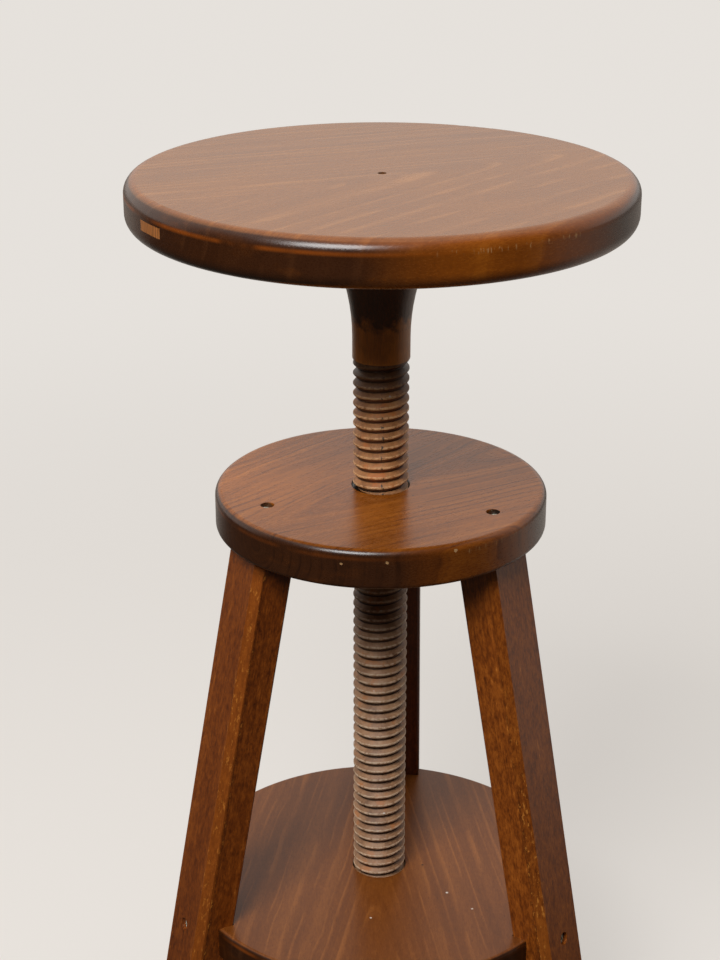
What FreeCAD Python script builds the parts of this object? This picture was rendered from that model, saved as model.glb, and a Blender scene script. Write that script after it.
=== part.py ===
"""Screw-height workshop stool in stained beech.

A round seat stands on a turned wooden spindle. The spindle's helical thread runs in a
threaded disc that joins the tops of three splayed legs, and its lower end is guided by a
plain bore in a notched shelf low down between the legs. Turning the seat raises or lowers it.

Frame: millimetres, +Z up. The origin is on the floor, under the spindle's axis.
X runs to the right and Y away from a person who stands in front of the stool.
"""
import FreeCAD, Part
import math
import os

V = FreeCAD.Vector
UP = V(0, 0, 1)

# Heights above the floor, with the seat raised as it stands at rest
SEAT_HEIGHT = 720.0
DISC_TOP = 492.5
SHELF_TOP = 171.0
SPINDLE_END = 108.0

# Seat: two boards edge to edge with a loose tongue between them
SEAT_DIAMETER = 350.0
SEAT_THICKNESS = 32.5
SEAT_TOP_ROUND = 9.0
SEAT_BOTTOM_ROUND = 10.5
SEAT_GRAIN_ANGLE = 30.0
SEAT_JOINT_OFFSET = 6.5
TONGUE_WIDTH = 28.0
TONGUE_THICKNESS = 7.0
TONGUE_DEPTH_BELOW_TOP = 11.5

# Spindle: tenon, trumpet-shaped neck and thread, turned from one billet
SPINDLE_DIAMETER = 40.0
SPINDLE_END_CHAMFER = 2.0
NECK_DIAMETER = 41.0
NECK_FLARE_RADIUS = 149.0
NECK_FLARE_START = 15.0
NECK_LENGTH = 98.5
COLLAR_HEIGHT = 22.0
COLLAR_ROUND = 4.0
TENON_DIAMETER = 30.0
TENON_LENGTH = 12.0

# Thread, right-handed: V grooves with bulging flanks and worn edges beside a narrow land
THREAD_PITCH = 7.5
THREAD_DEPTH = 3.1
THREAD_LAND = 0.9
GROOVE_ROOT = 0.5
FLANK_BULGE = 0.35
WORN_EDGE_DEPTH = 0.15
WORN_EDGE_SLOPE = 1.1
THREAD_CLEARANCE = 0.35
THREAD_MOUTH_CHAMFER = 1.0

# Threaded disc that carries the legs
DISC_DIAMETER = 239.0
DISC_THICKNESS = 28.5
DISC_TOP_ROUND = 5.0
DISC_BOTTOM_ROUND = 3.5

# Legs: flat staves that splay straight outwards
LEG_NAMES = ("left", "right", "rear")
LEG_AZIMUTHS = (207.0, 327.0, 87.0)
LEG_WIDTH = 52.0
LEG_THICKNESS = 28.0
LEG_SPLAY = 10.6
LEG_TOP_RADIUS = 93.7
LEG_OUTER_CHAMFER = 5.5
LEG_INNER_CHAMFER = 1.5

# Shelf, notched for the legs
SHELF_DIAMETER = 298.0
SHELF_THICKNESS = 25.0
SHELF_TOP_ROUND = 3.0
SHELF_BOTTOM_ROUND = 2.0
SHELF_BORE_CLEARANCE = 0.8

# Steel screws that hold the legs, and the counterbores that sink their heads
LEG_SCREW_LENGTH = 95.0
LEG_SCREW_OUTSETS = (1.0, 5.0, 0.0)
SHELF_SCREW_LENGTH = 60.0
SHELF_SCREW_BELOW_TOP = 9.0
SCREW_SHANK_DIAMETER = 5.0
SCREW_TIP_LENGTH = 8.0
SCREW_TIP_DIAMETER = 0.8
SCREW_HEAD_DIAMETER = 9.4
SCREW_HEAD_HEIGHT = 2.6
SCREW_HEAD_EDGE = 1.3
SCREW_HEAD_CLEARANCE = 0.2
SCREW_SINK = 2.0
DRIVE_LENGTH = 4.6
DRIVE_WIDTH = 1.1
DRIVE_DEPTH = 1.5

# Thin round-headed screw on the axis, from the top of the seat into the spindle
CENTRE_HOLE_DIAMETER = 6.0
CENTRE_HEAD_HEIGHT = 1.6
CENTRE_SHANK_DIAMETER = 3.0
CENTRE_SCREW_LENGTH = 44.0
CENTRE_SCREW_SINK = 7.0
CENTRE_CLEARANCE = 0.08

# Margin by which a cutting solid runs past the surface it cuts
OVERRUN = 2.0

SEAT_RADIUS = SEAT_DIAMETER / 2
SPINDLE_RADIUS = SPINDLE_DIAMETER / 2
SEAT_UNDERSIDE = SEAT_HEIGHT - SEAT_THICKNESS
NECK_END = SEAT_UNDERSIDE - NECK_LENGTH
DISC_UNDERSIDE = DISC_TOP - DISC_THICKNESS
SHELF_UNDERSIDE = SHELF_TOP - SHELF_THICKNESS
SPLAY_SLOPE = math.tan(math.radians(LEG_SPLAY))


def radial(azimuth):
    """Unit vector that points away from the axis at an azimuth in degrees."""
    angle = math.radians(azimuth)
    return V(math.cos(angle), math.sin(angle), 0)


def closed_wire(edges):
    return Part.Wire([edge.toShape() for edge in edges])


def revolved(edges):
    """Solid of revolution about Z from edges that form a closed outline in the XZ plane."""
    return Part.Face(closed_wire(edges)).revolve(V(0, 0, 0), UP, 360)


def quarter_round(centre, radius, from_angle):
    """Quarter of a circle in the XZ plane, 90 degrees on from from_angle."""
    points = []
    for turn in (0, 45, 90):
        angle = math.radians(from_angle + turn)
        points.append(V(centre.x + radius * math.cos(angle), 0, centre.z + radius * math.sin(angle)))
    return Part.Arc(*points)


def round_edged_disc(radius, top, thickness, top_round, bottom_round):
    """Turned disc whose top and bottom rims are rounded."""
    bottom = top - thickness
    low = V(radius - bottom_round, 0, bottom + bottom_round)
    high = V(radius - top_round, 0, top - top_round)
    return revolved([
        Part.LineSegment(V(0, 0, bottom), V(low.x, 0, bottom)),
        quarter_round(low, bottom_round, -90),
        Part.LineSegment(V(radius, 0, low.z), V(radius, 0, high.z)),
        quarter_round(high, top_round, 0),
        Part.LineSegment(V(high.x, 0, top), V(0, 0, top)),
        Part.LineSegment(V(0, 0, top), V(0, 0, bottom)),
    ])


def thread_groove(bottom, top, clearance):
    """Helical solid that cuts the thread's groove between two heights.

    The groove's phase depends on height alone, so the spindle and the threaded disc mesh.
    A clearance makes the groove smaller all round, for the ridge that runs in it.
    """
    crest = SPINDLE_RADIUS + clearance
    root = crest - THREAD_DEPTH
    mouth = (THREAD_PITCH - THREAD_LAND) / 2 - clearance
    floor = max(GROOVE_ROOT / 2 - clearance / 2, GROOVE_ROOT / 8)
    edge = V(crest - WORN_EDGE_DEPTH, 0, mouth - WORN_EDGE_DEPTH * WORN_EDGE_SLOPE)
    rise_past_crest = THREAD_LAND / 4
    outside = V(crest + rise_past_crest, 0, mouth + rise_past_crest * WORN_EDGE_SLOPE)
    middle = V((edge.x + root) / 2 + FLANK_BULGE, 0, (edge.z + floor) / 2)
    upper = [outside, edge, middle, V(root, 0, floor)]
    lower = [V(p.x, 0, -p.z) for p in upper]
    start = math.floor(bottom / THREAD_PITCH) * THREAD_PITCH
    profile = closed_wire([
        Part.LineSegment(lower[0], upper[0]),
        Part.LineSegment(upper[0], upper[1]),
        Part.Arc(*upper[1:]),
        Part.LineSegment(upper[3], lower[3]),
        Part.Arc(*reversed(lower[1:])),
        Part.LineSegment(lower[1], lower[0]),
    ])
    profile.translate(V(0, 0, start))
    cone_angle = 0
    path = Part.makeLongHelix(THREAD_PITCH, top - start, SPINDLE_RADIUS, cone_angle)
    path.translate(V(0, 0, start))
    return Part.Wire(path.Edges).makePipeShell([profile], True, True)


def dome(radius, rise, top):
    """Arc of a spherical dome from its rim to its crown on the axis."""
    sphere = (radius ** 2 + rise ** 2) / (2 * rise)
    half_angle = math.asin(radius / sphere) / 2
    middle = V(sphere * math.sin(half_angle), 0, top - sphere * (1 - math.cos(half_angle)))
    return Part.Arc(V(radius, 0, top - rise), middle, V(0, 0, top))


def spindle_envelope():
    """Neck, collar, tenon and plain thread blank as one turned solid."""
    neck = NECK_DIAMETER / 2
    flare_start = NECK_END + NECK_FLARE_START
    collar_bottom = SEAT_UNDERSIDE - COLLAR_HEIGHT
    centre_x = neck + NECK_FLARE_RADIUS

    def flare_point(height):
        rise = height - flare_start
        return V(centre_x - math.sqrt(NECK_FLARE_RADIUS ** 2 - rise ** 2), 0, height)

    flare_top = flare_point(collar_bottom)
    flare_middle = flare_point((flare_start + collar_bottom) / 2)
    collar = flare_top.x
    tenon = TENON_DIAMETER / 2
    tenon_top = SEAT_UNDERSIDE + TENON_LENGTH
    shoulder = V(collar - COLLAR_ROUND, 0, SEAT_UNDERSIDE - COLLAR_ROUND)
    chamfer_top = SPINDLE_END + SPINDLE_END_CHAMFER
    chamfer_in = SPINDLE_RADIUS - SPINDLE_END_CHAMFER
    return revolved([
        Part.LineSegment(V(0, 0, SPINDLE_END), V(chamfer_in, 0, SPINDLE_END)),
        Part.LineSegment(V(chamfer_in, 0, SPINDLE_END), V(SPINDLE_RADIUS, 0, chamfer_top)),
        Part.LineSegment(V(SPINDLE_RADIUS, 0, chamfer_top), V(SPINDLE_RADIUS, 0, NECK_END)),
        Part.LineSegment(V(SPINDLE_RADIUS, 0, NECK_END), V(neck, 0, NECK_END)),
        Part.LineSegment(V(neck, 0, NECK_END), V(neck, 0, flare_start)),
        Part.Arc(V(neck, 0, flare_start), flare_middle, flare_top),
        Part.LineSegment(flare_top, V(collar, 0, shoulder.z)),
        quarter_round(shoulder, COLLAR_ROUND, 0),
        Part.LineSegment(V(shoulder.x, 0, SEAT_UNDERSIDE), V(tenon, 0, SEAT_UNDERSIDE)),
        Part.LineSegment(V(tenon, 0, SEAT_UNDERSIDE), V(tenon, 0, tenon_top)),
        Part.LineSegment(V(tenon, 0, tenon_top), V(0, 0, tenon_top)),
        Part.LineSegment(V(0, 0, tenon_top), V(0, 0, SPINDLE_END)),
    ])


def make_spindle():
    groove = thread_groove(SPINDLE_END - 2 * THREAD_PITCH, NECK_END, 0)
    return spindle_envelope().cut(groove).cut(centre_screw_hole())


def centre_screw(clearance):
    """Round-headed screw on the axis, or with a clearance the hole that it stands in."""
    head_top = SEAT_HEIGHT - CENTRE_SCREW_SINK
    head_bottom = head_top - CENTRE_HEAD_HEIGHT - clearance
    head = CENTRE_HOLE_DIAMETER / 2 - CENTRE_CLEARANCE + clearance
    shank = CENTRE_SHANK_DIAMETER / 2 + clearance
    tip = head_top - CENTRE_SCREW_LENGTH - clearance
    return revolved([
        Part.LineSegment(V(0, 0, tip), V(shank, 0, tip + shank)),
        Part.LineSegment(V(shank, 0, tip + shank), V(shank, 0, head_bottom)),
        Part.LineSegment(V(shank, 0, head_bottom), V(head, 0, head_bottom)),
        dome(head, head_top - head_bottom, head_top),
        Part.LineSegment(V(0, 0, head_top), V(0, 0, tip)),
    ])


def centre_screw_hole():
    """Clearance hole for the centre screw's shank and its counterbore from the seat's top."""
    bottom = SEAT_HEIGHT - CENTRE_SCREW_SINK - CENTRE_HEAD_HEIGHT - CENTRE_CLEARANCE
    mouth = SEAT_HEIGHT + OVERRUN
    counterbore = Part.makeCylinder(CENTRE_HOLE_DIAMETER / 2, mouth - bottom, V(0, 0, bottom))
    return centre_screw(CENTRE_CLEARANCE).fuse(counterbore)


def make_seat():
    """The seat's two boards and the tongue in their joint, cut from one turned disc."""
    blank = round_edged_disc(SEAT_RADIUS, SEAT_HEIGHT, SEAT_THICKNESS, SEAT_TOP_ROUND, SEAT_BOTTOM_ROUND)
    mortise = Part.makeCylinder(TENON_DIAMETER / 2, TENON_LENGTH, V(0, 0, SEAT_UNDERSIDE))
    blank = blank.cut(mortise).cut(centre_screw_hole())
    reach = SEAT_RADIUS + OVERRUN
    tongue_bottom = SEAT_HEIGHT - TONGUE_DEPTH_BELOW_TOP - TONGUE_THICKNESS
    front_half = Part.makeBox(2 * reach, reach, SEAT_THICKNESS + 2 * OVERRUN,
                              V(-reach, -reach - SEAT_JOINT_OFFSET, SEAT_UNDERSIDE - OVERRUN))
    slot = Part.makeBox(2 * reach, TONGUE_WIDTH, TONGUE_THICKNESS,
                        V(-reach, -SEAT_JOINT_OFFSET - TONGUE_WIDTH / 2, tongue_bottom))
    for tool in (front_half, slot):
        tool.rotate(V(0, 0, 0), UP, SEAT_GRAIN_ANGLE)
    return {
        "seat_board_front": blank.common(front_half).cut(slot),
        "seat_board_rear": blank.cut(front_half).cut(slot),
        "seat_tongue": blank.common(slot),
    }


def leg_section(azimuth, centre_radius, height, outer_chamfer, inner_chamfer):
    """Horizontal face across a leg: its broad sides face in and out, its corners are chamfered."""
    out = radial(azimuth)
    side = UP.cross(out)
    half_width = LEG_WIDTH / 2
    half_depth = LEG_THICKNESS / 2 / math.cos(math.radians(LEG_SPLAY))
    corners = []
    for depth, width, chamfer in (
        (half_depth, half_width, outer_chamfer),
        (half_depth, -half_width, outer_chamfer),
        (-half_depth, -half_width, inner_chamfer),
        (-half_depth, half_width, inner_chamfer),
    ):
        along_side = (depth, width - math.copysign(chamfer, width))
        along_end = (depth - math.copysign(chamfer, depth), width)
        same_sign = depth * width > 0
        corners += [along_end, along_side] if same_sign else [along_side, along_end]
    points = [out * (centre_radius + depth) + side * width + V(0, 0, height) for depth, width in corners]
    distinct = [p for i, p in enumerate(points) if p.distanceToPoint(points[i - 1]) > 1e-6]
    return Part.Face(Part.makePolygon(distinct + distinct[:1]))


def leg_prism(azimuth, outer_chamfer, inner_chamfer):
    """A leg from the floor to the underside of the threaded disc."""
    foot_radius = LEG_TOP_RADIUS + DISC_UNDERSIDE * SPLAY_SLOPE
    rise = UP * DISC_UNDERSIDE - radial(azimuth) * (foot_radius - LEG_TOP_RADIUS)
    return leg_section(azimuth, foot_radius, 0, outer_chamfer, inner_chamfer).extrude(rise)


def leg_centre(azimuth, height):
    return radial(azimuth) * (LEG_TOP_RADIUS + (DISC_UNDERSIDE - height) * SPLAY_SLOPE) + V(0, 0, height)


def placed(shape, seat, outward):
    """Move a shape built at the origin along +Z so that it stands at seat and points outward."""
    moved = shape.copy()
    moved.Placement = FreeCAD.Placement(seat, FreeCAD.Rotation(UP, outward))
    return moved


def wood_screw(length):
    """Flat-domed screw with its head's top at the origin and its shank along -Z, and its hole."""
    head = SCREW_HEAD_DIAMETER / 2
    shank = SCREW_SHANK_DIAMETER / 2
    tip = SCREW_TIP_DIAMETER / 2
    body = revolved([
        Part.LineSegment(V(0, 0, -length), V(tip, 0, -length)),
        Part.LineSegment(V(tip, 0, -length), V(shank, 0, SCREW_TIP_LENGTH - length)),
        Part.LineSegment(V(shank, 0, SCREW_TIP_LENGTH - length), V(shank, 0, -SCREW_HEAD_HEIGHT)),
        Part.LineSegment(V(shank, 0, -SCREW_HEAD_HEIGHT), V(head, 0, -SCREW_HEAD_HEIGHT)),
        Part.LineSegment(V(head, 0, -SCREW_HEAD_HEIGHT), V(head, 0, -SCREW_HEAD_EDGE)),
        dome(head, SCREW_HEAD_EDGE, 0),
        Part.LineSegment(V(0, 0, 0), V(0, 0, -length)),
    ])
    drive = Part.makeBox(DRIVE_LENGTH, DRIVE_WIDTH, DRIVE_DEPTH + OVERRUN,
                         V(-DRIVE_LENGTH / 2, -DRIVE_WIDTH / 2, -DRIVE_DEPTH))
    cross = drive.copy()
    cross.rotate(V(0, 0, 0), UP, 90)
    counterbore = Part.makeCylinder(head + SCREW_HEAD_CLEARANCE, SCREW_HEAD_HEIGHT + SCREW_SINK + 4 * OVERRUN,
                                    V(0, 0, -SCREW_HEAD_HEIGHT))
    return body.cut(drive.fuse(cross)), body.fuse(counterbore)


def leg_screw(azimuth, outset):
    """Screw from the disc's top down a leg, along its slope, set out from the leg's middle."""
    outward = (leg_centre(azimuth, DISC_TOP) - leg_centre(azimuth, DISC_UNDERSIDE)).normalize()
    seat = leg_centre(azimuth, DISC_TOP) + radial(azimuth) * outset - outward * SCREW_SINK
    return [placed(part, seat, outward) for part in wood_screw(LEG_SCREW_LENGTH)]


def shelf_screw(azimuth):
    """Screw from a leg's outer face, square to it, into the shelf's edge."""
    out = radial(azimuth)
    slope = math.radians(LEG_SPLAY)
    outward = out * math.cos(slope) + UP * math.sin(slope)
    face = leg_centre(azimuth, SHELF_TOP - SHELF_SCREW_BELOW_TOP) + outward * (LEG_THICKNESS / 2)
    return [placed(part, face - outward * SCREW_SINK, outward) for part in wood_screw(SHELF_SCREW_LENGTH)]


def make_threaded_disc(screw_holes):
    blank = round_edged_disc(DISC_DIAMETER / 2, DISC_TOP, DISC_THICKNESS, DISC_TOP_ROUND, DISC_BOTTOM_ROUND)
    margin = 2 * THREAD_PITCH
    groove = thread_groove(DISC_UNDERSIDE - margin, DISC_TOP + margin, THREAD_CLEARANCE)
    bore = SPINDLE_RADIUS + THREAD_CLEARANCE
    tap = Part.makeCylinder(bore, DISC_THICKNESS + 2 * OVERRUN, V(0, 0, DISC_UNDERSIDE - OVERRUN)).cut(groove)
    disc = blank.cut(tap)
    mouth = bore + THREAD_MOUTH_CHAMFER
    upper = Part.makeCone(bore, mouth, THREAD_MOUTH_CHAMFER, V(0, 0, DISC_TOP - THREAD_MOUTH_CHAMFER))
    lower = Part.makeCone(mouth, bore, THREAD_MOUTH_CHAMFER, V(0, 0, DISC_UNDERSIDE))
    disc = disc.cut(upper).cut(lower)
    for hole in screw_holes:
        disc = disc.cut(hole)
    return disc


def make_shelf(screw_holes):
    shelf = round_edged_disc(SHELF_DIAMETER / 2, SHELF_TOP, SHELF_THICKNESS, SHELF_TOP_ROUND, SHELF_BOTTOM_ROUND)
    bore = SPINDLE_RADIUS + SHELF_BORE_CLEARANCE
    shelf = shelf.cut(Part.makeCylinder(bore, SHELF_THICKNESS + 2 * OVERRUN, V(0, 0, SHELF_UNDERSIDE - OVERRUN)))
    for azimuth in LEG_AZIMUTHS:
        shelf = shelf.cut(leg_prism(azimuth, 0, 0))
    for hole in screw_holes:
        shelf = shelf.cut(hole)
    return shelf


def make_stool():
    """Every piece of the stool by name."""
    pieces = make_seat()
    pieces["seat_centre_screw"] = centre_screw(0)
    pieces["spindle"] = make_spindle()
    leg_holes = []
    shelf_holes = []
    for name, azimuth, outset in zip(LEG_NAMES, LEG_AZIMUTHS, LEG_SCREW_OUTSETS):
        top_screw, top_hole = leg_screw(azimuth, outset)
        low_screw, low_hole = shelf_screw(azimuth)
        leg_holes.append(top_hole)
        shelf_holes.append(low_hole)
        leg = leg_prism(azimuth, LEG_OUTER_CHAMFER, LEG_INNER_CHAMFER)
        pieces["leg_" + name] = leg.cut(top_hole).cut(low_hole)
        pieces["leg_screw_" + name] = top_screw
        pieces["shelf_screw_" + name] = low_screw
    pieces["threaded_disc"] = make_threaded_disc(leg_holes)
    pieces["shelf"] = make_shelf(shelf_holes)
    return pieces


def single_solid(shape):
    """The shape as one plain solid, without a compound around it."""
    solids = shape.Solids
    return solids[0] if len(solids) == 1 else shape


os.makedirs("parts", exist_ok=True)
for node, shape in make_stool().items():
    solid = single_solid(shape)
    print(node, "solids", len(shape.Solids), "valid", shape.isValid(), "volume", round(shape.Volume))
    solid.exportStep("parts/" + node + ".step")
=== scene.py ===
"""Looks of the screw-height stool: stained beech, waxed thread and steel screws, in a plain pale studio."""

import math

import bpy
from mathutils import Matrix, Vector


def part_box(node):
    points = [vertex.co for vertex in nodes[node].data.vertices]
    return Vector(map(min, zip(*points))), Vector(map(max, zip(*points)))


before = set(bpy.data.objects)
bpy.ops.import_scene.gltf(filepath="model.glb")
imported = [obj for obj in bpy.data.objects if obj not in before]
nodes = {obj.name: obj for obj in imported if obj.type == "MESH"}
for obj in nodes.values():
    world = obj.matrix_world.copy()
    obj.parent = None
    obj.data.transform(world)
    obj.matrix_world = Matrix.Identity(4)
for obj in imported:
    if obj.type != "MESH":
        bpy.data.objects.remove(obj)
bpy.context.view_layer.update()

MM = 0.001

# Camera, in metres and degrees: height, distance and tilt found from the photograph's ellipses and heights
CAMERA_PLACE = Vector((0.0, -1.290, 1.022))
CAMERA_TILT = 22.21
CAMERA_YAW = 0.665
CAMERA_LENS = 72.4
SENSOR_LONG_SIDE = 36.0
VIEW_END = 100.0

# Light: a soft lamp high at the front left, a faint one overhead, and a pale glow behind for the varnish
LAMP_AIM = Vector((0.0, 0.0, 0.5))
KEY_AZIMUTH = 245.0
KEY_ELEVATION = 46.5
KEY_DISTANCE = 2.6
KEY_SIZE = 1.15
KEY_POWER = 66.0
TOP_PLACE = Vector((-0.35, -0.45, 2.7))
TOP_SIZE = 2.4
TOP_POWER = 8.0
BACKGROUND = (0.79, 0.755, 0.715)
BACK_GLOW = (0.84, 0.79, 0.74)
FRONT_GLOW = (0.045, 0.042, 0.038)
GLOW_STARTS = -0.25
GLOW_FULL = 0.35

# Floor: metres across, and then millimetres from the stool where its tones change
FLOOR_SIZE = 60.0
FLOOR_FRONT = (0.05, 0.044, 0.036)
FLOOR_BACK = (0.62, 0.57, 0.52)
FLOOR_BACK_STARTS = 100.0
FLOOR_BACK_FULL = 1100.0
FLOOR_EVEN_STARTS = 400.0
FLOOR_EVEN_FULL = 2200.0
FLOOR_EVEN_SHARE = 0.6

# Sizes in millimetres that the wear follows, from the frame's boxes
SEAT_BOX = [Vector(corner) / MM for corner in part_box("seat_board_front")]
DISC_BOX = [Vector(corner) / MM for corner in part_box("threaded_disc")]
SHELF_BOX = [Vector(corner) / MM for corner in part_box("shelf")]
SEAT_TOP = SEAT_BOX[1].z
DISC_TOP = DISC_BOX[1].z
SHELF_TOP = SHELF_BOX[1].z

# Sizes in millimetres that no box gives
LEG_HALF_WIDTH = 26.0
LEG_HALF_THICKNESS = 14.0
LEG_CHAMFER = 5.5
CHAMFER_MARGIN = 0.5
CENTRE_HOLE_RADIUS = 3.0
SCREW_HOLE_REACH = 7.0
THREAD_CREST = 20.0
THREAD_ROOT = 16.9
THREAD_TOP = 589.0
THREAD_CLEARANCE = 0.35
THREAD_MOUTH_CHAMFER = 1.0
BORE_EDGE = THREAD_CREST + THREAD_CLEARANCE + THREAD_MOUTH_CHAMFER

# Heights on the spindle where its tones, painted light and painted shadow change, in millimetres
NECK_PALE_BELOW = 618.0
TOP_STAIN_STARTS = 543.0
TOP_STAIN_FULL = 584.0
STAIN_AND_SHADOW_BELOW_DISC = 452.0
PAINTED_LIGHT_STARTS = 480.0
PAINTED_LIGHT_FULL = 500.0

# Directions of the grain, in degrees from +X
SEAT_GRAIN = 30.0
DISC_GRAIN = 39.0
SHELF_GRAIN = 90.0

# Marks placed as photographed, in millimetres: chips and specks with their sizes, pores painted with shade
# by X and Y, and a row of nicks at the spindle's front by its X, its Y and the heights where it starts
DISC_CHIPS = (((-26.3, -116.6, 482.2), 1.1), ((4.5, -119.4, 484.4), 1.3), ((50.5, -108.3, 488.6), 1.3))
SHELF_SPECKS = (((52.0, -40.5), 1.1), ((70.4, -61.5), 0.9), ((-6.0, -74.0), 0.9))
SEAT_SHADED_PORES = ((123.0, 21.0), (142.0, -54.0))
DISC_SHADED_PORES = ((105.0, -30.0), (23.0, -22.0))
SHELF_SHADED_PORE = (34.0, -3.0)
NICKS_X = 1.2
NICKS_FRONT = -17.0
NICKS_START = 470.0
NICKS_FULL = 480.0

# Linear colours. A board's stain is its middle tone, and these factors make its darker and lighter wood
DARKER = (0.34, 0.27, 0.22)
LIGHTER = (1.75, 2.05, 2.6)
PALEST = (2.9, 4.6, 9.0)
SEAT_STAIN = (0.225, 0.078, 0.016)
DISC_STAIN = (0.32, 0.090, 0.009)
SHELF_STAIN = (0.165, 0.046, 0.0065)
LEFT_LEG_STAIN = (0.168, 0.036, 0.0026)
RIGHT_LEG_STAIN = (0.215, 0.050, 0.0040)
# The rear leg's stain is darker than the others' as painted shade from the parts in front of it
REAR_LEG_STAIN_AND_SHADE = (0.085, 0.018, 0.0025)
# Dark rim stain, also painted as shade on the disc's top towards its front
RIM_DARK_AND_SHADE = (0.036, 0.0098, 0.0021)
RIM_ORANGE = (0.205, 0.050, 0.0026)
BARE_WOOD = (0.52, 0.30, 0.13)
WORN_ORANGE = (0.30, 0.066, 0.004)
SPECK = (0.62, 0.56, 0.48)
# Near black: painted shade in holes, gaps and counterbores, and the colour of the spindle's nicks
SHADE_AND_NICK_DARK = (0.006, 0.003, 0.0015)
TONGUE_TONES = ((0.20, (0.075, 0.022, 0.004)), (0.42, (0.33, 0.105, 0.020)), (0.78, (0.50, 0.19, 0.050)))
WAX_TONES = ((0.32, (0.13, 0.056, 0.022)), (0.50, (0.29, 0.145, 0.066)), (0.72, (0.46, 0.28, 0.16)))
WAX_ORANGE = (0.38, 0.130, 0.030)
WAX_RUBBED = (0.60, 0.45, 0.31)
# Painted light that makes the wax above the disc lighter and warmer
PAINTED_LIGHT_ABOVE_DISC = (1.50, 1.22, 0.85)
# Dirt in the thread's roots, also painted as shade on the flanks that face down
THREAD_DIRT_AND_SHADE = (0.020, 0.009, 0.004)
# Dark stain tones, also painted as the disc's shadow on the thread below it
THREAD_STAIN_AND_SHADOW_TONES = ((0.3, (0.016, 0.006, 0.002)), (0.7, (0.055, 0.022, 0.008)))
DARK_NECK_TONES = ((0.3, (0.035, 0.011, 0.0020)), (0.7, (0.110, 0.035, 0.0050)))
# Paler neck stain, brightened as painted light against the seat's shade
PALE_AND_LIT_NECK_TONES = ((0.3, (0.24, 0.082, 0.011)), (0.7, (0.56, 0.200, 0.024)))
STEEL_TONES = ((0.35, (0.46, 0.46, 0.37)), (0.7, (0.78, 0.80, 0.70)))


def scaled(colour, factors):
    return tuple(min(1.0, part * factor) for part, factor in zip(colour, factors))


def ratio(target, colour):
    """Factors that turn one colour into another."""
    return tuple(wanted / part for wanted, part in zip(target, colour))


class Tree:
    """Short calls that add nodes to one node tree."""

    def __init__(self, tree):
        self.tree = tree
        tree.nodes.clear()

    def node(self, kind):
        return self.tree.nodes.new("ShaderNode" + kind)

    def put(self, socket, value):
        if isinstance(value, bpy.types.NodeSocket):
            self.tree.links.new(value, socket)
        elif isinstance(value, tuple) and socket.type == "RGBA":
            socket.default_value = (*value, 1.0)
        else:
            socket.default_value = value

    def math(self, operation, first, second=0.0):
        node = self.node("Math")
        node.operation = operation
        self.put(node.inputs[0], first)
        self.put(node.inputs[1], second)
        return node.outputs[0]

    def add(self, *values):
        total = values[0]
        for value in values[1:]:
            total = self.math("ADD", total, value)
        return total

    def times(self, *values):
        total = values[0]
        for value in values[1:]:
            total = self.math("MULTIPLY", total, value)
        return total

    def length(self, first, second):
        return self.math("SQRT", self.add(self.times(first, first), self.times(second, second)))

    def vector(self, operation, first, second):
        """Vector of two vectors, or their number where the operation gives one."""
        node = self.node("VectorMath")
        node.operation = operation
        self.put(node.inputs[0], first)
        self.put(node.inputs[1], second)
        return node.outputs["Value" if operation in ("DOT_PRODUCT", "DISTANCE") else "Vector"]

    def split(self, vector):
        node = self.node("SeparateXYZ")
        self.put(node.inputs[0], vector)
        return node.outputs

    def join(self, x, y, z):
        node = self.node("CombineXYZ")
        for socket, value in zip(node.inputs, (x, y, z)):
            self.put(socket, value)
        return node.outputs[0]

    def noise(self, value, size, detail=2.0, rough=0.5, dimensions="3D"):
        """Soft noise with blobs of about the given size, along all axes of a vector or along one number."""
        node = self.node("TexNoise")
        node.noise_dimensions = dimensions
        self.put(node.inputs["W" if dimensions == "1D" else "Vector"], value)
        node.inputs["Scale"].default_value = 1.0 / size
        node.inputs["Detail"].default_value = detail
        node.inputs["Roughness"].default_value = rough
        return node.outputs["Fac"]

    def noise_along(self, value, size, detail=2.0, rough=0.5):
        return self.noise(value, size, detail, rough, "1D")

    def swing(self, noise, amount):
        """Noise turned into a swing about zero."""
        return self.times(self.add(noise, -0.5), amount)

    def spots(self, vector, size):
        """Distance to the nearest of scattered points, in units of the given size, and its random colour."""
        node = self.node("TexVoronoi")
        self.put(node.inputs["Vector"], vector)
        node.inputs["Scale"].default_value = 1.0 / size
        return node.outputs["Distance"], node.outputs["Color"]

    def fade(self, value, low, high, to_low=0.0, to_high=1.0):
        """Smooth step of a value from low to high. It runs backwards where low is above high."""
        node = self.node("MapRange")
        node.interpolation_type = "SMOOTHSTEP"
        for socket, number in zip(node.inputs, (value, low, high, to_low, to_high)):
            self.put(socket, number)
        return node.outputs[0]

    def near(self, value, centre, half, soft):
        """One inside centre ± half, fading to nothing over soft."""
        return self.fade(self.math("ABSOLUTE", self.add(value, -centre)), half + soft, half)

    def mix(self, share, first, second, blend="MIX"):
        node = self.node("Mix")
        node.data_type = "RGBA"
        node.blend_type = blend
        self.put(node.inputs[0], share)
        self.put(node.inputs[6], first)
        self.put(node.inputs[7], second)
        return node.outputs[2]

    def ramp(self, value, stops):
        node = self.node("ValToRGB")
        self.put(node.inputs[0], value)
        elements = node.color_ramp.elements
        while len(elements) < len(stops):
            elements.new(0.5)
        for element, (place, colour) in zip(elements, stops):
            element.position = place
            element.color = (*colour, 1.0)
        return node.outputs[0]


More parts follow.
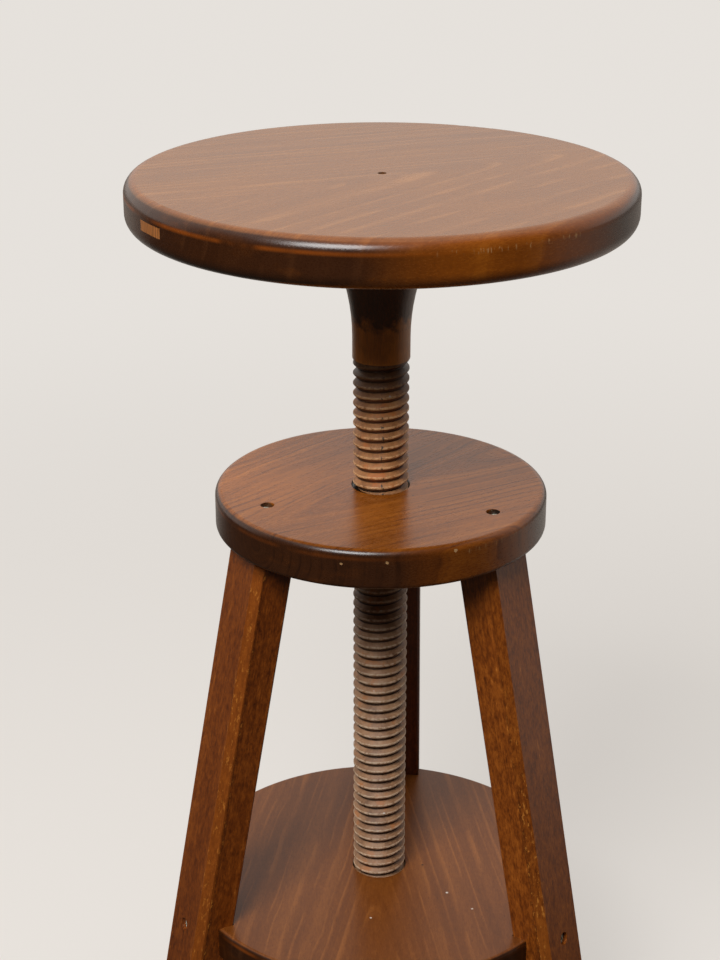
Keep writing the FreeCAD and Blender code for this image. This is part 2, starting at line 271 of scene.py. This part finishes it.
class Material(Tree):
    """Nodes of one material. Lengths are millimetres, and from_axis is measured from the spindle's axis."""

    def __init__(self, name):
        self.material = bpy.data.materials.new(name)
        self.material.use_nodes = True
        super().__init__(self.material.node_tree)
        self.output = self.node("OutputMaterial")
        self.shader = self.node("BsdfPrincipled")
        self.put(self.output.inputs["Surface"], self.shader.outputs[0])
        coordinates = self.node("TexCoord")
        self.place = self.vector("MULTIPLY", coordinates.outputs["Object"], (1 / MM, 1 / MM, 1 / MM))
        self.normal = coordinates.outputs["Normal"]
        self.x, self.y, self.z = self.split(self.place)
        self.from_axis = self.length(self.x, self.y)

    def along(self, direction, origin):
        """Distance of the point from an origin, measured along a direction."""
        return self.vector("DOT_PRODUCT", self.vector("SUBTRACT", self.place, origin), direction)

    def away_from(self, place):
        return self.vector("DISTANCE", self.place, place)

    def scaled_place(self, z_factor):
        """Place with its Z scaled: below 1 a noise is drawn out upwards, above 1 it is pressed flat."""
        return self.join(self.x, self.y, self.times(self.z, z_factor))

    def cover(self, names, colour, rough, height, depth):
        """Gives the material to the named pieces. A height of 1 stands for a relief of depth millimetres."""
        bump = self.node("Bump")
        bump.inputs["Distance"].default_value = depth * MM
        self.put(bump.inputs["Height"], height)
        self.put(self.shader.inputs["Base Color"], colour)
        self.put(self.shader.inputs["Roughness"], rough)
        self.put(self.shader.inputs["Normal"], bump.outputs[0])
        for name in names:
            slots = nodes[name].data.materials
            slots.clear()
            slots.append(self.material)


class Board:
    """Directions of one piece of wood: along the grain, across it, and through the rings."""

    def __init__(self, grain, depth, heart):
        self.grain = Vector(grain).normalized()
        self.depth = (Vector(depth) - Vector(depth).dot(self.grain) * self.grain).normalized()
        self.across = self.depth.cross(self.grain)
        self.heart = Vector(heart)


def level_board(angle, heart):
    """Board that lies flat, with its grain at an angle in degrees from +X."""
    turn = math.radians(angle)
    return Board((math.cos(turn), math.sin(turn), 0), (0, 0, 1), heart)


class Wood(Material):
    """Stained beech of one board, where u runs along the grain, v across it and w through the rings.

    ring_size, taper, heart_depth, lean and wander shape the rings. line to dash say how strongly each
    pattern shows, and gloss is the middle roughness. Wear builds on the colour, height and rough values.
    """

    def __init__(self, name, board, stain, seed, ring_size, taper, heart_depth, lean=0.0, wander=9.0,
                 line=0.20, band=0.30, hair=0.10, speckle=0.42, mottle=0.16, dash=0.40, gloss=0.30):
        super().__init__(name)
        self.stain = stain
        self.u = self.along(board.grain, board.heart)
        self.v = self.along(board.across, board.heart)
        self.w = self.along(board.depth, board.heart)
        alignment = self.vector("DOT_PRODUCT", self.normal, board.grain)
        self.facing = self.times(alignment, alignment)

        # Distance from the tree's heart, with rings that wander and cones that taper along the grain
        drift = self.swing(self.grain_noise(0.25, seed, 30.0, 2.0, 0.45), wander)
        rings = self.length(self.add(self.v, drift), self.add(self.w, heart_depth))
        rings = self.add(rings, self.times(self.u, taper), self.times(self.v, lean), self.times(drift, 0.6),
                         100.0 + seed)
        uneven = self.noise_along(rings, ring_size * 2.7, 1.0)
        phase = self.math("FRACT", self.add(self.times(rings, 1 / ring_size), self.times(uneven, 1.6)))
        ring_line = self.times(self.fade(phase, 0.22, 0.50), self.fade(phase, 0.60, 0.50),
                               self.fade(self.grain_noise(0.12, 2 * seed, 16.0), 0.38, 0.62))
        bands = self.noise_along(self.add(rings, 37.0), ring_size * 1.5, 3.0, 0.6)
        hairs = self.noise_along(self.add(rings, self.times(drift, 0.3), 71.0), ring_size * 0.14, 2.0, 0.6)

        # Speckle, fibres, mottle and blotches that are drawn out along the grain, and beech's short dashes
        speckles = self.grain_noise(0.30, seed, 1.15, 3.0, 0.65)
        fibres = self.grain_noise(0.05, seed, 0.9, 3.0, 0.6)
        mottles = self.grain_noise(0.42, 5 * seed, 3.4, 3.0, 0.6)
        blotches = self.grain_noise(0.5, 3 * seed, 52.0)
        away, chance = self.spots(self.join(self.times(self.u, 0.26), self.add(self.v, seed), self.w), 1.0)
        dash_size = self.fade(self.split(chance)[0], 0.35, 1.0, 0.02, 0.30)
        dashes = self.times(self.fade(self.math("DIVIDE", away, dash_size), 1.3, 0.55),
                            self.fade(self.facing, 0.9, 0.10), dash)

        level = self.add(0.47, self.times(ring_line, line), self.swing(bands, band), self.swing(hairs, hair),
                         self.swing(speckles, speckle), self.swing(fibres, 0.5 * speckle),
                         self.swing(mottles, mottle), self.swing(blotches, 0.22))
        tones = ((0.12, scaled(stain, DARKER)), (0.46, stain), (0.80, scaled(stain, LIGHTER)),
                 (1.0, scaled(stain, PALEST)))
        self.colour = self.mix(dashes, self.ramp(level, tones), scaled(stain, DARKER))
        self.height = self.add(self.times(speckles, 0.7), self.times(fibres, 0.4),
                               self.times(ring_line, 0.35), self.times(dashes, -0.9))
        self.rough = self.add(gloss - 0.07, self.times(speckles, 0.08), self.times(blotches, 0.06))

    def grain_noise(self, stretch, shift, size, detail=2.0, rough=0.5):
        """Noise drawn out along the grain: the smaller the stretch factor, the longer its streaks."""
        point = self.join(self.times(self.u, stretch), self.v, self.add(self.w, shift))
        return self.noise(point, size, detail, rough)

    def paint(self, share, colour):
        self.colour = self.mix(share, self.colour, colour)

    def chip(self, place, size, colour):
        """Small ragged chip or speck at a place on the surface."""
        ragged = self.swing(self.noise(self.place, 0.9, 2.0, 0.6), 1.3 * size)
        share = self.fade(self.add(self.away_from(place), ragged), size * 1.05, size * 0.75)
        self.paint(share, colour)
        self.height = self.add(self.height, self.times(share, -5.0))

    def hole_shade(self, place, radius, reach):
        """Painted shade: a dark spot in and round a small hole in a top face, at an X and Y."""
        away = self.length(self.add(self.x, -place[0]), self.add(self.y, -place[1]))
        self.paint(self.fade(away, radius + reach, radius), SHADE_AND_NICK_DARK)

    def wear_rim(self, box, rounding, worn_depth, worn_share):
        """Rim of a turned board: dark end grain, orange side grain, a rubbed line and a dark under edge."""
        radius = box[1].x
        sideways = self.fade(self.math("ABSOLUTE", self.split(self.normal)[2]), 0.998, 0.72)
        sideways = self.times(sideways, self.fade(self.from_axis, radius * 0.7, radius * 0.8))
        rounded = self.fade(self.from_axis, radius - rounding - 0.5, radius - rounding + 3.5)
        rim = self.math("MAXIMUM", sideways, self.times(rounded, 0.6))
        cloud = self.noise(self.scaled_place(2.5), 24.0, 4.0, 0.6)
        end_grain = self.times(self.fade(self.facing, 0.01, 0.34), self.fade(cloud, 0.10, 0.50, 0.75, 1.0))
        tint = self.mix(end_grain, ratio(RIM_ORANGE, self.stain), ratio(RIM_DARK_AND_SHADE, self.stain))
        self.paint(rim, self.mix(1.0, self.colour, tint, "MULTIPLY"))

        depth = self.add(box[1].z, self.times(self.z, -1.0))
        outer = self.fade(self.from_axis, radius * 0.95, radius * 0.97)
        rub = self.noise(self.scaled_place(0.4), 30.0)
        worn = self.times(self.near(depth, worn_depth, 0.2, 2.0), outer, self.fade(rub, 0.30, 0.62),
                          self.fade(self.x, 70.0, -70.0, 0.15, 1.0))
        self.paint(self.times(worn, worn_share), WORN_ORANGE)
        streaks = self.noise(self.scaled_place(0.12), 1.3, 2.0, 0.6)
        ticks = self.times(self.near(depth, worn_depth, 0.9, 1.4), outer, self.fade(streaks, 0.58, 0.66),
                           self.fade(self.facing, 0.14, 0.04))
        self.paint(self.times(ticks, 0.6), BARE_WOOD)
        under = box[0].z
        self.paint(self.times(self.fade(self.z, under + 1.2, under + 0.2), 0.6), RIM_DARK_AND_SHADE)

    def finish(self, names, depth=0.03, specular=0.5):
        self.shader.inputs["IOR"].default_value = 1.5
        self.shader.inputs["Specular IOR Level"].default_value = specular
        self.cover(names, self.colour, self.rough, self.height, depth)


def dress_seat():
    board = level_board(SEAT_GRAIN, (0, -12, SEAT_TOP))
    wood = Wood("seat_wood", board, SEAT_STAIN, seed=1.3, ring_size=13.0, taper=0.22, heart_depth=7.0,
                lean=0.39, line=0.15, band=0.20, speckle=0.32, mottle=0.14, dash=0.30, gloss=0.27)
    wood.wear_rim(SEAT_BOX, rounding=9.5, worn_depth=8.8, worn_share=0.62)
    # Painted shade in the centre hole and in small pores
    wood.hole_shade((0, 0), CENTRE_HOLE_RADIUS - 0.4, 0.7)
    for place in SEAT_SHADED_PORES:
        wood.hole_shade(place, 0.35, 0.5)
    wood.finish(["seat_board_front", "seat_board_rear"])


def dress_tongue():
    """End grain of the tongue, with its rings as even stripes."""
    t = Material("tongue_wood")
    board = level_board(SEAT_GRAIN, (0, 0, SEAT_TOP))
    ring_size = 2.1
    across = t.along(board.across, board.heart)
    uneven = t.times(t.noise_along(across, 5.0, 1.0), 1.5)
    phase = t.math("FRACT", t.add(t.times(across, 1 / ring_size), uneven))
    stripes = t.math("ABSOLUTE", t.add(phase, -0.5))
    fibre = t.noise(t.place, 0.8, 3.0, 0.6)
    level = t.add(t.times(stripes, 1.3), 0.15, t.swing(fibre, 0.3))
    t.cover(["seat_tongue"], t.ramp(level, TONGUE_TONES), t.add(0.30, t.times(fibre, 0.1)), level, 0.05)


def screw_top(name):
    """Highest point of a screw that stands upright, in millimetres."""
    return max((vertex.co for vertex in nodes[name].data.vertices), key=lambda point: point.z) / MM


def dress_disc():
    board = level_board(DISC_GRAIN, (6, -8, DISC_TOP))
    wood = Wood("disc_wood", board, DISC_STAIN, seed=4.1, ring_size=6.5, taper=-0.16, heart_depth=11.0,
                wander=16.0, line=-0.22, band=0.52, hair=0.34, speckle=0.36, mottle=0.24, dash=0.45,
                gloss=0.28)
    wood.wear_rim(DISC_BOX, rounding=5.0, worn_depth=6.0, worn_share=0.35)
    for place, size in DISC_CHIPS:
        wood.chip(place, size, BARE_WOOD)
    # Painted shade: the disc's top is darker towards its front
    wood.paint(wood.fade(wood.y, 10.0, -120.0, 0.0, 0.34), RIM_DARK_AND_SHADE)
    # Painted shade in the gap round the bore and on the walls of the screws' counterbores
    wood.paint(wood.fade(wood.from_axis, BORE_EDGE, BORE_EDGE - 0.4), SHADE_AND_NICK_DARK)
    sunk = wood.fade(wood.z, DISC_TOP - 0.2, DISC_TOP - 0.7)
    for name in ("leg_screw_left", "leg_screw_right", "leg_screw_rear"):
        hole = wood.fade(wood.away_from(screw_top(name)), SCREW_HOLE_REACH, SCREW_HOLE_REACH - 0.6)
        wood.paint(wood.times(sunk, hole, 0.8), SHADE_AND_NICK_DARK)
    # Painted shade in small pores
    for place in DISC_SHADED_PORES:
        wood.hole_shade(place, 0.4, 0.6)
    wood.finish(["threaded_disc"])


def dress_shelf():
    board = level_board(SHELF_GRAIN, (-2, -40, SHELF_TOP))
    wood = Wood("shelf_wood", board, SHELF_STAIN, seed=7.7, ring_size=9.0, taper=0.16, heart_depth=9.0,
                wander=7.0, line=0.22, band=0.26, speckle=0.34, gloss=0.34)
    wood.wear_rim(SHELF_BOX, rounding=3.0, worn_depth=3.6, worn_share=0.6)
    for place, size in SHELF_SPECKS:
        wood.chip((*place, SHELF_TOP), size, SPECK)
    # Painted shade in a small pore
    wood.hole_shade(SHELF_SHADED_PORE, 0.5, 0.7)
    wood.finish(["shelf"], specular=0.36)


def middle(points):
    return sum(points, Vector()) / len(points)


def leg_ends(name):
    """Middles of a leg's foot and of its top, from the highest and lowest points of its mesh."""
    points = [vertex.co for vertex in nodes[name].data.vertices]
    margin = 0.01 * MM
    highest = max(point.z for point in points)
    foot = middle([point for point in points if point.z < margin])
    top = middle([point for point in points if point.z > highest - margin])
    return foot, top


def dress_leg(name, stain, seed):
    """Leg with mottled faces, a lighter chamfer, and dark and bare patches along its corners."""
    foot, top = leg_ends(name)
    board = Board(top - foot, Vector((foot.x, foot.y, 0)), foot / MM)
    wood = Wood("wood_" + name, board, stain, seed, ring_size=7.0, taper=0.012, heart_depth=55.0, wander=8.0,
                line=0.08, band=0.34, speckle=1.0, mottle=0.80, dash=0.6, gloss=0.36)
    side = wood.math("ABSOLUTE", wood.v)
    corner = wood.add(side, wood.w, CHAMFER_MARGIN + LEG_CHAMFER - LEG_HALF_WIDTH - LEG_HALF_THICKNESS)
    rub = wood.grain_noise(0.35, 0.0, 2.2, 4.0, 0.7)
    wood.paint(wood.times(wood.fade(corner, -0.7, -0.2), 0.42), scaled(stain, LIGHTER))
    beside = wood.times(wood.fade(corner, -4.5, -1.0), wood.fade(corner, -0.3, -0.8),
                        wood.fade(side, LEG_HALF_WIDTH - 1.0, LEG_HALF_WIDTH - 0.4))
    wood.paint(wood.times(beside, wood.fade(rub, 0.44, 0.56), 0.75), scaled(stain, DARKER))
    worn = wood.times(wood.fade(corner, -2.6, -1.2), wood.fade(rub, 0.585, 0.63))
    wood.paint(wood.times(worn, 0.75), scaled(stain, PALEST))
    foot_dirt = wood.fade(wood.z, 60.0, 5.0)
    wood.paint(wood.times(foot_dirt, 0.5), RIM_DARK_AND_SHADE)
    wood.finish([name], 0.04)


def dress_spindle():
    """Waxed thread, dirty in its grooves and rubbed pale on its crest, below a darkly stained neck; painted
    light and shade lie on both.
    """
    t = Material("spindle_wood")
    patch = t.noise(t.scaled_place(0.8), 15.0, 4.0, 0.6)
    grain = t.noise(t.scaled_place(0.10), 0.9, 3.0, 0.65)
    grime = t.noise(t.place, 2.2, 4.0, 0.7)
    crest = t.fade(t.from_axis, THREAD_CREST - 0.55, THREAD_CREST - 0.2)

    # Wax: its own tones, orange patches, rubbed crests, painted light that lifts a stretch above the disc,
    # and dirt in the roots with painted shade on the undersides
    wax = t.ramp(t.add(t.times(patch, 0.62), t.times(grain, 0.22), t.times(grime, 0.30), -0.08), WAX_TONES)
    orange = t.fade(t.noise(t.scaled_place(0.7), 13.0, 3.0, 0.6), 0.55, 0.70)
    wax = t.mix(t.times(orange, 0.75), wax, WAX_ORANGE)
    wax = t.mix(t.times(crest, t.fade(grime, 0.36, 0.56), 0.75), wax, WAX_RUBBED)
    # Painted light: the wax above the disc is made lighter and warmer against the seat's shade
    painted_light_above_disc = t.fade(t.z, PAINTED_LIGHT_STARTS, PAINTED_LIGHT_FULL)
    wax = t.mix(painted_light_above_disc, wax, t.mix(1.0, wax, PAINTED_LIGHT_ABOVE_DISC, "MULTIPLY"))
    root = t.fade(t.from_axis, THREAD_ROOT + 0.7, THREAD_ROOT)
    # Dirt in the roots, and painted shade on the flanks that face down
    underside_shade = t.fade(t.split(t.normal)[2], -0.25, -0.75)
    underside_shade = t.times(underside_shade, t.add(1.0, t.times(crest, -0.8)), 0.8)
    wax = t.mix(t.times(t.math("MAXIMUM", root, underside_shade), 0.86), wax, THREAD_DIRT_AND_SHADE)

    # Pale flecks on some crests, and dark nicks in a row at the front
    away, chance = t.spots(t.scaled_place(1.6), 9.0)
    outside = t.fade(t.from_axis, THREAD_CREST - 1.4, THREAD_CREST - 0.8)
    fleck = t.times(t.fade(t.add(away, t.times(grime, 0.25)), 0.26, 0.19),
                    t.fade(t.split(chance)[1], 0.80, 0.83), outside)
    wax = t.mix(t.times(fleck, 0.85), wax, SPECK)
    nicks = t.times(t.near(t.x, NICKS_X, 0.7, 0.8), t.fade(t.y, NICKS_FRONT, NICKS_FRONT - 1.5),
                    t.fade(t.noise(t.place, 2.6, 1.0), 0.50, 0.60), t.fade(t.z, NICKS_START, NICKS_FULL))
    wax = t.mix(t.times(nicks, 0.9), wax, SHADE_AND_NICK_DARK)

    # Dark stain that ran on to the thread's top, and a dark stretch just below the disc that is partly
    # darker wood and partly painted shadow of the disc
    stain_and_shadow_below_disc = t.times(t.near(t.z, STAIN_AND_SHADOW_BELOW_DISC, 14.0, 26.0), 0.85)
    stained = t.math("MAXIMUM", t.fade(t.z, TOP_STAIN_STARTS, TOP_STAIN_FULL), stain_and_shadow_below_disc)
    wax = t.mix(t.times(stained, 0.88), wax, t.ramp(grime, THREAD_STAIN_AND_SHADOW_TONES))

    # Neck: dark above and paler below a ragged border, where the paler tones also hold painted light against
    # the seat's shade
    border = t.add(t.z, t.swing(t.noise(t.place, 9.0, 3.0, 0.6), 34.0))
    dark_neck = t.ramp(t.add(t.times(grain, 0.6), t.times(patch, 0.4)), DARK_NECK_TONES)
    pale_and_lit_neck = t.ramp(t.add(t.times(grain, 0.5), t.times(patch, 0.5)), PALE_AND_LIT_NECK_TONES)
    neck = t.mix(t.fade(border, NECK_PALE_BELOW + 6.0, NECK_PALE_BELOW - 6.0), dark_neck, pale_and_lit_neck)

    colour = t.mix(t.fade(t.z, THREAD_TOP - 0.6, THREAD_TOP + 0.2), wax, neck)
    threaded = t.fade(t.z, THREAD_TOP, THREAD_TOP - 20.0)
    rough = t.add(0.24, t.times(grime, 0.16), t.times(threaded, 0.20))
    height = t.add(t.times(grain, 0.5), t.times(grime, 0.9), t.times(threaded, grime, 2.2))
    t.cover(["spindle"], colour, rough, height, 0.13)


def dress_screws():
    t = Material("screw_steel")
    wear = t.noise(t.place, 1.2, 3.0, 0.6)
    t.shader.inputs["Metallic"].default_value = 0.30
    screws = [name for name in nodes if "screw" in name]
    t.cover(screws, t.ramp(wear, STEEL_TONES), t.fade(wear, 0.3, 0.7, 0.60, 0.42), wear, 0.05)


def place_object(name, data):
    thing = bpy.data.objects.new(name, data)
    bpy.context.scene.collection.objects.link(thing)
    return thing


def make_camera():
    data = bpy.data.cameras.new("camera")
    data.lens = CAMERA_LENS
    data.sensor_width = SENSOR_LONG_SIDE
    data.clip_end = VIEW_END
    camera = place_object("camera", data)
    camera.location = CAMERA_PLACE
    camera.rotation_euler = (math.radians(90 - CAMERA_TILT), 0, math.radians(CAMERA_YAW))
    bpy.context.scene.camera = camera


def make_lamp(name, place, size, power):
    data = bpy.data.lights.new(name, "AREA")
    data.shape = "SQUARE"
    data.size = size
    data.energy = power
    lamp = place_object(name, data)
    lamp.location = place
    lamp.rotation_euler = (place - LAMP_AIM).to_track_quat("Z", "Y").to_euler()


def make_lamps():
    azimuth = math.radians(KEY_AZIMUTH)
    elevation = math.radians(KEY_ELEVATION)
    direction = Vector((math.cos(azimuth) * math.cos(elevation), math.sin(azimuth) * math.cos(elevation),
                        math.sin(elevation)))
    make_lamp("key", LAMP_AIM + direction * KEY_DISTANCE, KEY_SIZE, KEY_POWER)
    make_lamp("overhead", TOP_PLACE, TOP_SIZE, TOP_POWER)


def make_world():
    """Even background for the camera, and for reflections a glow behind and a dim front."""
    world = bpy.data.worlds.new("studio")
    bpy.context.scene.world = world
    world.use_nodes = True
    t = Tree(world.node_tree)
    direction = t.split(t.node("TexCoord").outputs["Generated"])
    glow = t.mix(t.fade(direction[1], GLOW_STARTS, GLOW_FULL), FRONT_GLOW, BACK_GLOW)
    background = t.node("Background")
    t.put(background.inputs["Color"], t.mix(t.node("LightPath").outputs["Is Camera Ray"], glow, BACKGROUND))
    t.put(t.node("OutputWorld").inputs["Surface"], background.outputs[0])


def make_floor():
    """Floor that meets the background without an edge and throws little light up at the front."""
    half = FLOOR_SIZE / 2
    mesh = bpy.data.meshes.new("floor")
    mesh.from_pydata([(-half, -half, 0), (half, -half, 0), (half, half, 0), (-half, half, 0)], [],
                     [(0, 1, 2, 3)])
    floor = place_object("floor", mesh)
    t = Material("floor_pale")
    seen = t.node("LightPath").outputs["Is Camera Ray"]
    behind = t.fade(t.add(t.y, t.times(t.x, 0.5)), FLOOR_BACK_STARTS, FLOOR_BACK_FULL)
    t.put(t.shader.inputs["Base Color"], t.mix(seen, t.mix(behind, FLOOR_FRONT, FLOOR_BACK), BACKGROUND))
    t.shader.inputs["Roughness"].default_value = 0.9
    t.shader.inputs["Specular IOR Level"].default_value = 0.1
    even = t.node("Emission")
    t.put(even.inputs["Color"], BACKGROUND)
    evenness = t.fade(t.from_axis, FLOOR_EVEN_STARTS, FLOOR_EVEN_FULL, FLOOR_EVEN_SHARE, 1.0)
    blend = t.node("MixShader")
    t.put(blend.inputs[0], t.times(seen, evenness))
    t.put(blend.inputs[1], t.shader.outputs[0])
    t.put(blend.inputs[2], even.outputs[0])
    t.put(t.output.inputs["Surface"], blend.outputs[0])
    mesh.materials.append(t.material)


dress_seat()
dress_tongue()
dress_disc()
dress_shelf()
dress_leg("leg_left", LEFT_LEG_STAIN, 11.0)
dress_leg("leg_right", RIGHT_LEG_STAIN, 16.3)
# The rear leg's darker stain carries painted shade
dress_leg("leg_rear", REAR_LEG_STAIN_AND_SHADE, 21.6)
dress_spindle()
dress_screws()
make_floor()
make_lamps()
make_world()
make_camera()
bpy.context.scene.view_settings.view_transform = "Standard"
